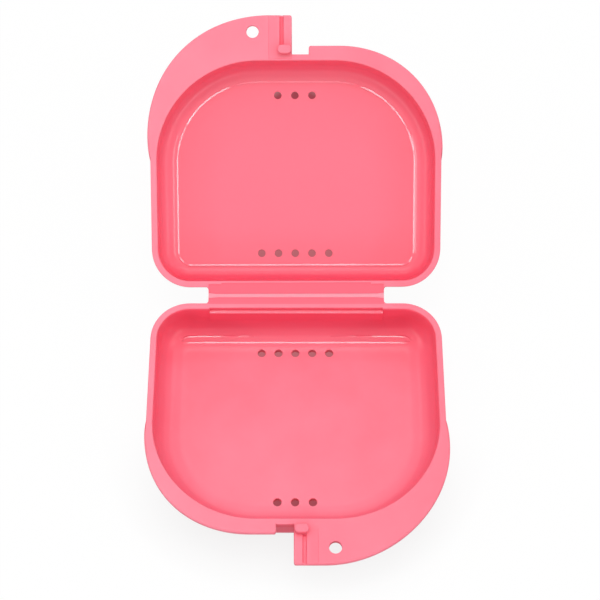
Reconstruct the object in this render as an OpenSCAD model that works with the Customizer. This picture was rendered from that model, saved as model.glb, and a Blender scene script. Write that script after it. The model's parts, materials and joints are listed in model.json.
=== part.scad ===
// Pocket case for an orthodontic retainer: a vented tray and a vented lid on a living hinge.
// Each half carries a finger tab with a lanyard hole and a latch peg that drops into a notch
// in the other half's lip. The case is drawn open, with the tray standing on its flat foot.

/* [Shell outline] */
// Width of the shell across its sides
case_w = 81.4; // [76:0.2:92]
// Hinge line to the outside of the back wall
back_gap = 2.35; // [1.8:0.05:4]
// Depth of the shell from the outside of its back wall to the outside of its front wall
shell_d = 65.65; // [60:0.05:76]
// Outside radius of the two front corners
front_r = 30.1; // [24:0.1:33]
// Outside radius of the two back corners
back_r = 10.85; // [10.5:0.05:14]

/* [Walls] */
// Thickness of the side walls at the rim
wall_t = 1.75; // [1.2:0.05:2.2]
// Thickness of the floor
floor_t = 1.6; // [1:0.1:2.2]
// Draft of the walls, for release from the mould
draft = 4; // [0.5:0.5:5]
// Height of the undrafted band under the rim, which carries the flanges
rim_band = 2.2; // [2:0.1:3.5]

/* [Tray] */
// Inside depth of the tray
tray_depth = 12; // [11:0.5:18]
// Radius between the tray's walls and its floor
tray_fillet = 7.5; // [4:0.1:7.6]
// Half length of the ledge behind the tray's hinge edge
ledge_half_l = 24.4; // [18:0.1:26]
// Thickness of the tray's back wall above the ledge
ledge_lip_t = 1.45; // [1:0.05:1.6]
// Width of the ledge
ledge_w = 0.95; // [0.4:0.05:1.2]
// Depth of the ledge below the rim
ledge_drop = 1.6; // [1:0.1:2.5]
// Height of the face below the ledge
ledge_face_h = 5; // [3:0.1:6]

/* [Lid] */
// Inside depth of the lid
lid_depth = 9; // [8:0.5:14]
// Radius between the lid's walls and its floor
lid_fillet = 4.2; // [2:0.1:5]
// Depth of the shallow panel sunk in the lid's floor
panel_sink = 0.25; // [0.1:0.05:0.5]
// Flat margin of the floor round the sunk panel
panel_margin = 0.5; // [0.2:0.1:1.5]
// Angle between the tray and the lid as the case stands open
open_angle = 154; // [95:1:175]
// Gap between the two rims when the case is shut
rim_gap = 0.2; // [0.1:0.05:0.4]

/* [Vents] */
// Diameter of each vent
vent_d = 2.15; // [1.2:0.05:3]
// Vents in the row by the hinge
back_vents = 5; // [1:2:9]
// Spacing of the vents in the row by the hinge
back_vent_pitch = 4.8; // [3.5:0.1:6]
// Hinge line to the row of vents by the hinge
back_vent_u = 12.1; // [11:0.1:16]
// Vents in the row by the front
front_vents = 3; // [1:2:7]
// Spacing of the vents in the row by the front
front_vent_pitch = 4.9; // [3.5:0.1:6]
// Outside of the front wall to the row of vents by the front
front_vent_in = 10.6; // [9.5:0.1:16]

/* [Flanges] */
// Thickness of the lips and the finger tabs
flange_t = 2; // [1.4:0.1:2]
// How far the lip stands out in front of the shell
lip_out = 2.45; // [2.4:0.05:4]
// How far the lip stands out beside the shell
lip_side = 0.3; // [0.2:0.05:1]
// Offset of the lip's round corner from the shell's, towards the side
lip_shift = 1.7; // [0.5:0.1:4]
// How far the finger tab stands out in front of the shell
tab_out = 11.1; // [9:0.1:15]
// How far the finger tab stands out beside the shell
tab_side = 0.8; // [0.5:0.05:1.5]
// Offset of the finger tab's round from the shell's, towards the middle
tab_shift = 3.1; // [1:0.1:5]
// Distance past the shell's corner centre at which the flanges run out
run_out = 1.4; // [1:0.1:4]
// Radius of the corner at the free end of a lip or a finger tab
end_r = 0.55; // [0.2:0.05:1]

/* [Latch] */
// Distance of the line between the two tabs from the middle of the case
parting_x = 0.8; // [0:0.1:3]
// Gap between the ends of the two tabs when the case is shut
tab_gap = 0.5; // [0.2:0.05:0.8]
// Length of a latch peg
peg_l = 3.85; // [3.2:0.05:6]
// Width of a latch peg
peg_w = 2.5; // [1.6:0.1:2.6]
// Height of a latch peg above its tab
peg_h = 1.6; // [1:0.1:1.8]
// Radius of the rounded top of a latch peg
peg_top_r = 0.35; // [0.2:0.05:0.6]
// Distance from the end of the tab to its latch peg
peg_set = 0.2; // [0.2:0.05:0.8]
// Clearance between a latch peg and the notch that takes it
peg_play = 0.15; // [0.15:0.05:0.5]

/* [Finger tab details] */
// Diameter of the lanyard hole
lanyard_d = 3.5; // [2.5:0.1:4.5]
// Distance from the end of the tab to the lanyard hole
lanyard_set = 11.1; // [9:0.1:14]
// Distance from the front edge of the tab to the lanyard hole
lanyard_in = 4.7; // [3.5:0.1:6]
// Width of the groove across the tab
groove_w = 1.2; // [0.8:0.05:1.6]
// Depth of the groove across the tab
groove_d = 0.9; // [0.4:0.1:1]
// Width of the strip left between the groove and the end of the tab
strip_w = 2.25; // [1.5:0.05:3]

/* [Hinge] */
// Length of the hinge along the back of the case
hinge_l = 49.5; // [38:0.5:54]
// Thickness of the two hinge leaves
leaf_t = 1.4; // [1:0.1:1.8]
// Width of the thin film between the leaves
film_w = 0.85; // [0.6:0.05:1.4]
// Thickness of the film
film_t = 0.3; // [0.2:0.05:0.5]
// Radius where the ends of a leaf run into the back wall
leaf_fillet = 0.85; // [0.3:0.05:1]
// Half length of the shallow recess along the lid's hinge edge
recess_half_l = 24.6; // [18:0.1:26]
// Depth of the recess along the lid's hinge edge, which makes room for the folded film
recess_d = 0.15; // [0.05:0.05:0.2]
// Thickness of the lip left between that recess and the inside of the lid
recess_lip = 0.55; // [0.4:0.05:1]

/* [Hidden] */
$fn = 96;
pink = "#FF8597";
pink_deep = "#F7667B";

// Overshoot of a cutter past the face that it opens
over = 1;
// Step to which the lean of a wall is rounded
lean_step = 0.001;
// Overlap of the middle of a floor with the floor that belongs to the walls
core_lap = 0.3;

// Shell outline, seen from above with the hinge line on the X axis and the front towards +Y
back_u = back_gap;
front_u = back_gap + shell_d;
front_c = [case_w / 2 - front_r, front_u - front_r];
back_c = [case_w / 2 - back_r, back_u + back_r];

// Heights and the place of the hinge
tray_h = tray_depth + floor_t;
hinge_y = (back_u + front_u) / 2;
lid_tilt = 180 - open_angle;
leaf_u = film_w / 2;

// Ends of the tabs, each measured in its own half
tray_tab_x = parting_x - tab_gap / 2;
lid_tab_x = -parting_x - tab_gap / 2;
notch_w = tab_gap + peg_set + peg_l + peg_play;
peg_u = front_u + peg_play;

// Round corners of the lip and of the finger tab
lip_cx = front_c[0] + lip_shift;
lip_r = case_w / 2 + lip_side - lip_cx;
lip_u = front_u + lip_out;
tab_cx = front_c[0] - tab_shift;
tab_r = case_w / 2 + tab_side - tab_cx;
tab_u = front_u + tab_out;
flange_end_u = front_c[1] + run_out;
flange_reach = case_w / 2 + tab_side + over;

// How far a drafted wall leans in over a height
function lean(h) = round(h * tan(draft) / lean_step) * lean_step;

// Half section of a dish that hangs below Z = 0: straight band, drafted wall, round foot
module dish_section(r, band, h, foot_r) {
    wall_x = r - lean(h - band - foot_r);
    foot_x = wall_x - foot_r;
    difference() {
        polygon([[0, 0], [r, 0], [r, -band], [wall_x, foot_r - h], [wall_x, -h], [0, -h]]);
        difference() {
            translate([foot_x, -h - over])
                square(foot_r + over);
            translate([foot_x, foot_r - h])
                circle(foot_r);
        }
    }
}

// Section through wall and floor, from the outside face in to the centre of a corner of radius r
module shell_section(r, depth, fillet, sink) {
    inner_r = r - wall_t;
    panel_r = inner_r - lean(depth - fillet) - fillet - panel_margin;
    difference() {
        dish_section(r, rim_band, depth + floor_t, fillet + floor_t);
        translate([0, over])
            dish_section(inner_r, over, depth + over, fillet);
        if (sink > 0)
            translate([-over, -depth - sink])
                square([panel_r + over, sink + over]);
    }
}

// Round corner of the shell about a centre, a quarter turn from one direction
module corner(c, r, from, depth, fillet, sink) {
    translate(c)
        rotate([0, 0, from])
            rotate_extrude(angle = 90)
                shell_section(r, depth, fillet, sink);
}

// Straight wall of the shell, starting square to a point and facing a direction
module straight(p, facing, l, depth, fillet, sink) {
    translate(p)
        rotate([0, 0, facing])
            translate([0, l, 0])
                rotate([90, 0, 0])
                    linear_extrude(l)
                        shell_section(back_r, depth, fillet, sink);
}

// One open shell with its rim at Z = 0
module shell(depth, fillet, sink) {
    core_r = front_r - back_r;
    core_side = front_c + [core_r, 0];
    core_front = front_c + [0, core_r];
    lap = [core_lap, core_lap];
    right = [back_c + [core_lap, -core_lap], core_side + lap, front_c + lap, core_front + lap];
    left = [for (i = [len(right) - 1:-1:0]) [-right[i][0], right[i][1]]];
    for (side = [0, 1])
        mirror([side, 0, 0]) {
            corner(front_c, front_r, 0, depth, fillet, sink);
            corner(back_c, back_r, -90, depth, fillet, sink);
            straight(back_c, 0, front_c[1] - back_c[1], depth, fillet, sink);
        }
    straight(core_front, 90, 2 * front_c[0], depth, fillet, sink);
    straight([-back_c[0], back_c[1]], -90, 2 * back_c[0], depth, fillet, sink);
    translate([0, 0, -depth - floor_t])
        linear_extrude(floor_t - sink)
            polygon(concat(right, left));
}

// One row of vents, centred on the middle of the case
module vent_row(count, pitch, u, depth) {
    for (i = [0:count - 1])
        translate([(i - (count - 1) / 2) * pitch, u, -depth - floor_t - over])
            cylinder(h = depth + floor_t, d = vent_d);
}

// Both rows of vents through the floor of one half
module vents(depth) {
    vent_row(back_vents, back_vent_pitch, back_vent_u, depth);
    vent_row(front_vents, front_vent_pitch, front_u - front_vent_in, depth);
}

// Flange in front of the shell: a straight edge that rounds off beside it.
// It runs from its free end at inner_x out to the side, with a corner of radius r about cx.
module flange(inner_x, cx, r, edge_u) {
    difference() {
        translate([0, 0, -flange_t])
            union() {
                translate([inner_x, front_c[1], 0])
                    cube([cx - inner_x, edge_u - front_c[1], flange_t]);
                intersection() {
                    translate([cx, edge_u - r, 0])
                        cylinder(h = flange_t, r = r);
                    translate([cx, flange_end_u, 0])
                        cube([flange_reach, edge_u, flange_t]);
                }
            }
        translate([front_c[0], front_c[1], -flange_t - over])
            cylinder(h = flange_t + 2 * over, r = front_r);
        translate([inner_x - over, front_c[1] - over, -flange_t - over])
            cube([front_c[0] - inner_x + over, front_u - front_c[1] + over, flange_t + 2 * over]);
        translate([inner_x + end_r, edge_u - end_r, -flange_t - over])
            difference() {
                translate([-end_r - over, 0, 0])
                    cube([end_r + over, end_r + over, flange_t + 2 * over]);
                translate([0, 0, -over])
                    cylinder(h = flange_t + 4 * over, r = end_r);
            }
    }
}

// Narrow lip on the side away from the tab, which ends at the notch for the other half's peg
module catch_lip(tab_x) {
    flange(tab_x + notch_w, lip_cx, lip_r, lip_u);
}

// Wide finger tab with its lanyard hole and the groove across its end
module finger_tab(tab_x) {
    difference() {
        mirror([1, 0, 0])
            flange(-tab_x, tab_cx, tab_r, tab_u);
        translate([tab_x - lanyard_set, tab_u - lanyard_in, -flange_t - over])
            cylinder(h = flange_t + 2 * over, d = lanyard_d);
        translate([tab_x - strip_w - groove_w, peg_u + peg_w, -groove_d])
            cube([groove_w, tab_out, groove_d + over]);
    }
}

// Half section of a latch peg that stands on Z = 0, with its top edge rounded
module peg_section() {
    mirror([0, 1])
        dish_section(peg_w / 2, 0, peg_h, peg_top_r);
}

// Latch peg with round ends, standing at the end of the tab
module latch_peg(tab_x) {
    r = peg_w / 2;
    mid_l = peg_l - peg_w;
    translate([tab_x - peg_set - r, peg_u + r, 0]) {
        rotate([0, 0, -90])
            rotate_extrude(angle = 180)
                peg_section();
        translate([-mid_l, 0, 0])
            rotate([0, 0, 90])
                rotate_extrude(angle = 180)
                    peg_section();
        for (side = [0, 1])
            mirror([0, side, 0])
                rotate([90, 0, -90])
                    linear_extrude(mid_l)
                        mirror([1, 0])
                            peg_section();
    }
}

// Thick leaf between the film and the back wall, with a fillet at each end
module hinge_leaf() {
    translate([0, 0, -leaf_t])
        linear_extrude(leaf_t)
            union() {
                translate([-hinge_l / 2, leaf_u])
                    square([hinge_l, back_u - leaf_u]);
                for (side = [0, 1])
                    mirror([side, 0])
                        difference() {
                            translate([hinge_l / 2, back_u - leaf_fillet])
                                square(leaf_fillet);
                            translate([hinge_l / 2 + leaf_fillet, back_u - leaf_fillet])
                                circle(leaf_fillet);
                        }
            }
}

// Shallow recess along the lid's hinge edge, over its leaf and the outer part of its back wall
module hinge_recess() {
    translate([-recess_half_l, leaf_u - over, -recess_d])
        cube([2 * recess_half_l, over + back_u - leaf_u + wall_t - recess_lip, recess_d + over]);
}

// Turns a point of the film's section about the hinge line
function turned(p, a) = [p[0] * cos(a) - p[1] * sin(a), p[0] * sin(a) + p[1] * cos(a)];

// Place of each half in the case
module in_tray() {
    translate([0, hinge_y, tray_h])
        rotate([0, 0, 180])
            children();
}

module in_lid() {
    translate([0, hinge_y, tray_h + rim_gap / 2])
        rotate([lid_tilt, 0, 0])
            translate([0, 0, -rim_gap / 2])
                children();
}

// Vented tray, with a ledge behind the hinge edge
module tray() {
    ledge_u = back_u + ledge_lip_t;
    color(pink)
        in_tray()
            difference() {
                union() {
                    shell(tray_depth, tray_fillet, 0);
                    translate([-ledge_half_l, back_u + wall_t / 2, -ledge_drop - ledge_face_h])
                        cube([2 * ledge_half_l, ledge_lip_t + ledge_w - wall_t / 2, ledge_face_h]);
                }
                translate([-ledge_half_l, ledge_u, -ledge_drop])
                    cube([2 * ledge_half_l, wall_t, ledge_drop + over]);
                vents(tray_depth);
            }
}

module tray_catch_lip() {
    color(pink)
        in_tray()
            catch_lip(tray_tab_x);
}

module tray_finger_tab() {
    color(pink)
        in_tray()
            finger_tab(tray_tab_x);
}

module tray_latch_peg() {
    color(pink)
        in_tray()
            latch_peg(tray_tab_x);
}

module tray_hinge_leaf() {
    color(pink_deep)
        in_tray()
            hinge_leaf();
}

// Thin film along the hinge line, bent to the angle at which the case stands open
module living_hinge() {
    tray_edge = [[-film_w / 2, -rim_gap / 2 - film_t], [-film_w / 2, -rim_gap / 2]];
    axis = [[0, -rim_gap / 2], [0, -rim_gap / 2 - film_t]];
    lid_edge = [[film_w / 2, -rim_gap / 2], [film_w / 2, -rim_gap / 2 - film_t]];
    film_top = [axis[0], turned(axis[0], lid_tilt), turned(lid_edge[0], lid_tilt)];
    film_under = [turned(lid_edge[1], lid_tilt), turned(axis[1], lid_tilt), axis[1]];
    color(pink)
        translate([-hinge_l / 2, hinge_y, tray_h + rim_gap / 2])
            rotate([90, 0, 90])
                linear_extrude(hinge_l)
                    polygon(concat(tray_edge, film_top, film_under));
}

// Vented lid, with a shallow panel sunk in its floor and a recess along its hinge edge
module lid() {
    color(pink)
        in_lid()
            difference() {
                shell(lid_depth, lid_fillet, panel_sink);
                vents(lid_depth);
                hinge_recess();
            }
}

module lid_catch_lip() {
    color(pink)
        in_lid()
            catch_lip(lid_tab_x);
}

module lid_finger_tab() {
    color(pink)
        in_lid()
            finger_tab(lid_tab_x);
}

module lid_latch_peg() {
    color(pink)
        in_lid()
            latch_peg(lid_tab_x);
}

module lid_hinge_leaf() {
    color(pink_deep)
        in_lid()
            difference() {
                hinge_leaf();
                hinge_recess();
            }
}

tray();
tray_catch_lip();
tray_finger_tab();
tray_latch_peg();
tray_hinge_leaf();
living_hinge();
lid();
lid_catch_lip();
lid_finger_tab();
lid_latch_peg();
lid_hinge_leaf();
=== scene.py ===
import json
import math
from collections import namedtuple

import bmesh
import bpy
from bpy.props import FloatProperty, FloatVectorProperty, PointerProperty
from mathutils import Matrix, Vector


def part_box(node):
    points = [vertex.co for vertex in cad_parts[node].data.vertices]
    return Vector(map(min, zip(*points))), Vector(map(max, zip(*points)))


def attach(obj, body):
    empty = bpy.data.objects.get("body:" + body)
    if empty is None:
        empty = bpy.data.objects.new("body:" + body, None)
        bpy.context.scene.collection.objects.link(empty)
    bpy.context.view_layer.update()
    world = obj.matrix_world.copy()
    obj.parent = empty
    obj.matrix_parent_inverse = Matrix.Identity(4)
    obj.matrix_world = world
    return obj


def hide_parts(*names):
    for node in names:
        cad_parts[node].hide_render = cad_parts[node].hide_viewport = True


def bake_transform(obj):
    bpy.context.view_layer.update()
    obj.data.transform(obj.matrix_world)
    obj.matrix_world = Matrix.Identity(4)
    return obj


bl_info = {
    "name": "Retainer case",
    "version": (1, 0, 0),
    "blender": (4, 5, 0),
    "location": "View3D > Sidebar > Retainer case",
    "description": "Builds an open retainer case with a living hinge round the packed frame",
    "category": "Add Mesh",
}

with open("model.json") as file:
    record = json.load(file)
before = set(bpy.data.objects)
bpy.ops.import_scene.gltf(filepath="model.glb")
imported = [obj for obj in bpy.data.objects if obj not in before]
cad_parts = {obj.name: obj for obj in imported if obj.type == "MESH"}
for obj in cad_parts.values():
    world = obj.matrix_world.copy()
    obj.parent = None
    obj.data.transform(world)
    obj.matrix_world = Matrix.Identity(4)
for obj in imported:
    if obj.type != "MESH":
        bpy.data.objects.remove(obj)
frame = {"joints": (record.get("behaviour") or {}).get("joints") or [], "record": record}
bpy.context.view_layer.update()

MM = 0.001
RIGHT_ANGLE = math.pi / 2

# The frame's own sizes: the hinge line, the tray's shell and what stands out from it
HINGE = Vector(frame["joints"][0]["pos_m"])
LID_TILT = -math.radians(frame["joints"][0]["range_deg"][0])
SHELL_LOW, SHELL_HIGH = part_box("tray")
TAB_LOW, TAB_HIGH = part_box("tray_finger_tab")
LIP_LOW, LIP_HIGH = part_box("tray_catch_lip")
LEAF_LOW, LEAF_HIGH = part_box("tray_hinge_leaf")
FILM_LOW, FILM_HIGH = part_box("living_hinge")
PEG_LOW, PEG_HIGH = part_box("tray_latch_peg")
LID_TAB_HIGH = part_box("lid_finger_tab")[1]
LANYARD = next(m for m in frame["record"]["mounts"] if m["name"] == "tray_lanyard_hole")
RIM_Z = SHELL_HIGH.z
RIM_GAP = 2 * (HINGE.z - RIM_Z)
NOTCH_W = TAB_LOW.x - LIP_HIGH.x


def linear(hex_colour):
    """Linear red, green and blue of an sRGB hex colour."""
    channels = [int(hex_colour[i:i + 2], 16) / 255 for i in (1, 3, 5)]
    return [c / 12.92 if c <= 0.04045 else ((c + 0.055) / 1.055) ** 2.4 for c in channels]


def length(name, description, default):
    """A length that a user may change."""
    return FloatProperty(name=name, description=description, default=default, precision=5, unit="LENGTH")


def colour(name, description, hex_colour):
    """A colour that a user may change."""
    return FloatVectorProperty(
        name=name, description=description, default=linear(hex_colour), subtype="COLOR", min=0, max=1)


class CaseShell(bpy.types.PropertyGroup):
    """Sizes of the two shells."""
    width: length("Width", "Width of the shell across its sides", SHELL_HIGH.x - SHELL_LOW.x)
    depth: length("Depth", "Outside of the back wall to the front wall's", SHELL_HIGH.y - SHELL_LOW.y)
    back_gap: length("Back gap", "Hinge line to the outside of the back wall", HINGE.y - SHELL_HIGH.y)
    front_r: length("Front radius", "Outside radius of the front corners", 30.1 * MM)
    back_r: length("Back radius", "Outside radius of the back corners", 10.85 * MM)
    wall: length("Wall", "Thickness of the walls at the rim", 1.75 * MM)
    floor: length("Floor", "Thickness of the floors", 1.6 * MM)
    band: length("Rim band", "Height of the undrafted band under the rim", 2.2 * MM)
    draft: FloatProperty(
        name="Draft", description="Lean of the walls, for release from the mould",
        default=math.radians(4), subtype="ANGLE")
    edge: length("Edge", "Radius of the rim's and the leaves' edges", 0.3 * MM)
    tray_fillet: length("Tray fillet", "Radius between the tray's walls and its floor", 7.5 * MM)
    lid_depth: length("Lid depth", "Inside depth of the lid", 9 * MM)
    lid_fillet: length("Lid fillet", "Radius between the lid's walls and its floor", 4.2 * MM)
    panel_sink: length("Panel sink", "Depth of the shallow panel in the lid's floor", 0.25 * MM)
    panel_margin: length("Panel margin", "Flat margin of the floor round the sunk panel", 0.5 * MM)
    panel_edge: length("Panel edge", "Width of the bevel round the lid's sunk panel", 0.38 * MM)
    ledge_half: length("Ledge half length", "Half length of the ledge at the tray's back", 24.4 * MM)
    ledge_lip: length("Ledge lip", "Thickness of the tray's back wall above the ledge", 1.45 * MM)
    ledge_w: length("Ledge width", "Width of the ledge", 0.95 * MM)
    ledge_drop: length("Ledge drop", "Depth of the ledge below the rim", 1.6 * MM)
    recess: length("Hinge recess", "Depth of the recess along the lid's hinge edge", 0.15 * MM)
    recess_lip: length("Recess lip", "Thickness of the lip between recess and inside", 0.55 * MM)
    vent_d: length("Vent", "Diameter of each vent", 2.15 * MM)
    back_pitch: length("Back vent spacing", "Spacing of the five vents by the hinge", 4.8 * MM)
    back_vent: length("Back vents", "Hinge line to the vents by the hinge", 12.1 * MM)
    front_pitch: length("Front vent spacing", "Spacing of the three vents by the front", 4.9 * MM)
    front_vent: length("Front vents", "Outside of the front wall to the vents by the front", 10.6 * MM)


class CaseFlanges(bpy.types.PropertyGroup):
    """Sizes of the lips, the finger tabs, the latch pegs and the hinge."""
    thickness: length("Thickness", "Thickness of the lips and the finger tabs", TAB_HIGH.z - TAB_LOW.z)
    lip_edge: length("Lip edge", "Hinge line to the edge of the lip", HINGE.y - LIP_LOW.y)
    lip_side: length("Lip side", "Middle of the case to the side of the lip", -LIP_LOW.x)
    lip_centre: length("Lip centre", "Middle of the case to the centre of the lip's round", 12.3 * MM)
    tab_edge: length("Tab edge", "Hinge line to the edge of the finger tab", HINGE.y - TAB_LOW.y)
    tab_side: length("Tab side", "Middle of the case to the side of the finger tab", TAB_HIGH.x)
    tab_centre: length("Tab centre", "Middle of the case to the centre of the tab's round", 7.5 * MM)
    edge: length("Flange edge", "Radius of the upper edge of the lips and the finger tabs", 0.55 * MM)
    corner: length("Corner", "Radius of the corners at the ends of the lip and the tab", 0.55 * MM)
    groove_w: length("Groove width", "Width of the groove across the tab", 1.2 * MM)
    groove_d: length("Groove depth", "Depth of the groove across the tab", 0.5 * MM)
    strip: length("Strip", "Width of the strip between the groove and the end of the tab", 2.25 * MM)
    leaf_t: length("Leaf", "Thickness of the hinge leaves", LEAF_HIGH.z - LEAF_LOW.z)
    leaf_fillet: length("Leaf fillet", "Radius at the ends of the leaves", LEAF_HIGH.x - FILM_HIGH.x)
    hinge_l: length("Hinge", "Length of the hinge", FILM_HIGH.x - FILM_LOW.x)
    film_w: length("Film width", "Width of the film between the leaves", 2 * (HINGE.y - FILM_LOW.y))
    film_t: length("Film", "Thickness of the film", 0.3 * MM)
    film_flare: length("Film flare", "How much wider the film grows towards each end", 0.25 * MM)
    peg_top: length("Peg edge", "Radius of the rounded top of a latch peg", 0.35 * MM)
    peg_neck: length("Peg neck", "How far a latch peg draws in at its foot", 0.12 * MM)


class CaseColours(bpy.types.PropertyGroup):
    """Colours of the mouldings and the stage."""
    # Painted light: rims, lips and tabs drift from the matt pink at the left to the darker blush pink at the
    # right, and flow marks mix the two at random too
    matt: colour("Matt pink", "Rims, lips and finger tabs, towards the left", "#FB899C")
    right_shade_and_flow: colour("Blush pink", "Rims, lips and finger tabs, towards the right", "#FA778B")
    # Painted light: the shells drift from the satin pink at the tray's front to the darker flow pink towards
    # the lid, and flow marks mix the two at random too
    satin: colour("Satin pink", "Shells, towards the tray's front", "#FB8096")
    flow: colour("Flow pink", "Shells, towards the lid", "#FA6C82")
    # Painted shade: creases, grooves, bores and the walls deep in the shells are coloured towards this pink
    shade_pink: colour("Deep pink", "Pink of creases, grooves and bores", "#EE4A64")
    film: colour("Film pink", "Thin film of the hinge", "#FB9AAA")
    sheet: colour("Sheet", "Pale sheet under the case", "#F6F5F5")
    dim: colour("Dim sheet", "Light that the sheet sends back up", "#C4C0C0")
    shade: colour("Shade", "Pink shade on the sheet under the hinge", "#BA6970")
    deep_shade: colour("Deep shade", "Pink shade on the sheet under the ends of the case", "#A04650")


Place = namedtuple("Place", "centre normal radius")
Half = namedtuple("Half", "name depth fillet sink tab_x lip_bulge tab_bulge is_tray to_frame")
# Each row's share is how much painted shade deepens its pink
Row = namedtuple("Row", "inset height finish shelter", defaults=(0.0,))
Flange = namedtuple("Flange", "width thickness top drop groove edge")

# Slots of the three finishes of a moulding
MATT, SATIN, GLOSS = 0, 1, 2

# The film lets the tray stand a hair askew
TRAY_TURN = math.radians(-0.14)

# How far the rounds of a half's lip and tab swell past a plain arc
TRAY_BULGES = (0.38 * MM, -0.3 * MM)
LID_BULGES = (0.22 * MM, 0.42 * MM)


def halves(scene):
    """The tray and the lid, each with its rim at Z = 0, its hinge line on X and its front towards +Y."""
    shell = scene.case_shell
    tray_depth = RIM_Z - SHELL_LOW.z - shell.floor
    tray_place = Matrix.Translation((0, HINGE.y, RIM_Z)) @ Matrix.Rotation(math.pi + TRAY_TURN, 4, "Z")
    lid_place = (
        Matrix.Translation(HINGE) @ Matrix.Rotation(LID_TILT, 4, "X")
        @ Matrix.Translation((0, 0, -RIM_GAP / 2)))
    tray = Half("tray", tray_depth, shell.tray_fillet, 0.0, -TAB_LOW.x, *TRAY_BULGES, True, tray_place)
    lid = Half(
        "lid", shell.lid_depth, shell.lid_fillet, shell.panel_sink, LID_TAB_HIGH.x, *LID_BULGES,
        False, lid_place)
    return tray, lid


def clamp(value):
    """Value kept between 0 and 1."""
    return min(max(value, 0.0), 1.0)


def smooth(value):
    """Smooth step from 0 to 1."""
    t = clamp(value)
    return t * t * (3 - 2 * t)


def mix(low, high, share):
    """Value between two others."""
    return low + (high - low) * share


def outside(place, inset=0.0):
    """Point of the plan at a place of the outline, moved inwards by inset."""
    return place.centre + place.normal * (place.radius - inset)


# The sides spread towards the front: share of the width, where that starts and over which length
SIDE_FLARE = 0.0108
FLARE_FROM = 12 * MM
FLARE_OVER = 30 * MM


def flared(point):
    """Point of the plan with the sides spread a little towards the front."""
    return Vector((point.x * (1 + SIDE_FLARE * clamp((point.y - FLARE_FROM) / FLARE_OVER)), point.y))


def arc(centre, radius, start, end, steps, finish):
    """Rows of an arc in the section, from one angle to another in degrees."""
    turn = [math.radians(mix(start, end, i / steps)) for i in range(steps + 1)]
    return [Row(centre[0] + radius * math.cos(a), centre[1] + radius * math.sin(a), finish) for a in turn]


def stations(marks, step):
    """The marks in order, with enough places between them to keep the spacing under step."""
    marks = sorted(marks)
    places = [marks[0]]
    for near, far in zip(marks, marks[1:]):
        count = max(1, math.ceil((far - near) / step))
        places += [near + (far - near) * (i + 1) / count for i in range(count)]
    return places


# Angles that step through a quarter turn
QUARTER = [math.radians(15 * i) for i in range(7)]

# Gap between two sections where the shape steps
HAIR = 0.01 * MM

# Slope of the groove's sides, and the shallow pad round it and the peg: its reach, depth and soft edge
GROOVE_SLOPE = 0.25 * MM
PAD_L = 6.6 * MM
PAD_SINK = 0.12 * MM
PAD_SOFT = 0.2 * MM


def front_marks(half, flanges):
    """Places along the front edge where the lip, the notch, the tab or its groove changes the section."""
    lip_x = half.tab_x + NOTCH_W
    marks = [lip_x + flanges.corner * (1 - math.sin(a)) for a in QUARTER] + [lip_x - HAIR]
    marks += [half.tab_x - flanges.corner * (1 - math.sin(a)) for a in QUARTER] + [half.tab_x + HAIR]
    far = half.tab_x - flanges.strip
    marks += [far, far - GROOVE_SLOPE, far - flanges.groove_w + GROOVE_SLOPE, far - flanges.groove_w]
    return marks + [half.tab_x - PAD_L, half.tab_x - PAD_L + PAD_SOFT]


# Half lengths of the lid's hinge recess and of the part with the narrow lip
RECESS_END = 24.62 * MM
RECESS_STEP = 21.1 * MM


def back_marks(half, shell, flanges):
    """Places along the back edge where the leaf, the ledge and the recess change the section."""
    end = flanges.hinge_l / 2
    marks = [end + flanges.leaf_fillet * (1 - math.cos(a)) for a in QUARTER] + [end - 2 * HAIR]
    step_ends = [shell.ledge_half] if half.is_tray else [RECESS_END, RECESS_STEP]
    marks += [x + side * 2 * HAIR for x in step_ends for side in (-1, 1)]
    return marks + [-x for x in marks]


# Sections round the corners, and their largest spacing along the straight edges
BACK_STEPS = 30
FRONT_STEPS = 36
BACK_SPACING = 2.5 * MM
SIDE_SPACING = 4 * MM
FRONT_SPACING = 1.5 * MM


def outline(half, shell, flanges):
    """Places round the shell's outside, anticlockwise from the back left corner, seen from above."""
    back_u, front_u = shell.back_gap, shell.back_gap + shell.depth
    front_c = Vector((shell.width / 2 - shell.front_r, front_u - shell.front_r))
    back_c = Vector((shell.width / 2 - shell.back_r, back_u + shell.back_r))
    back_xs = stations(back_marks(half, shell, flanges) + [-back_c.x, back_c.x], BACK_SPACING)
    front_xs = stations(front_marks(half, flanges) + [-front_c.x, front_c.x], FRONT_SPACING)
    side_us = stations([back_c.y, front_c.y], SIDE_SPACING)
    places = []

    def corner(centre, radius, start, steps):
        for i in range(steps):
            a = math.radians(start + 90 * i / steps)
            places.append(Place(centre, Vector((math.cos(a), math.sin(a))), radius))

    def left(point):
        return Vector((-point.x, point.y))

    corner(left(back_c), shell.back_r, 180, BACK_STEPS)
    for x in back_xs[:-1]:
        places.append(Place(Vector((x, back_c.y)), Vector((0, -1)), shell.back_r))
    corner(back_c, shell.back_r, -90, BACK_STEPS)
    for u in side_us[:-1]:
        places.append(Place(Vector((back_c.x, u)), Vector((1, 0)), shell.back_r))
    corner(front_c, shell.front_r, 0, FRONT_STEPS)
    for x in reversed(front_xs[1:]):
        places.append(Place(Vector((x, front_u - shell.back_r)), Vector((0, 1)), shell.back_r))
    corner(left(front_c), shell.front_r, 90, FRONT_STEPS)
    for u in reversed(side_us[1:]):
        places.append(Place(Vector((-back_c.x, u)), Vector((-1, 0)), shell.back_r))
    return places


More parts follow.
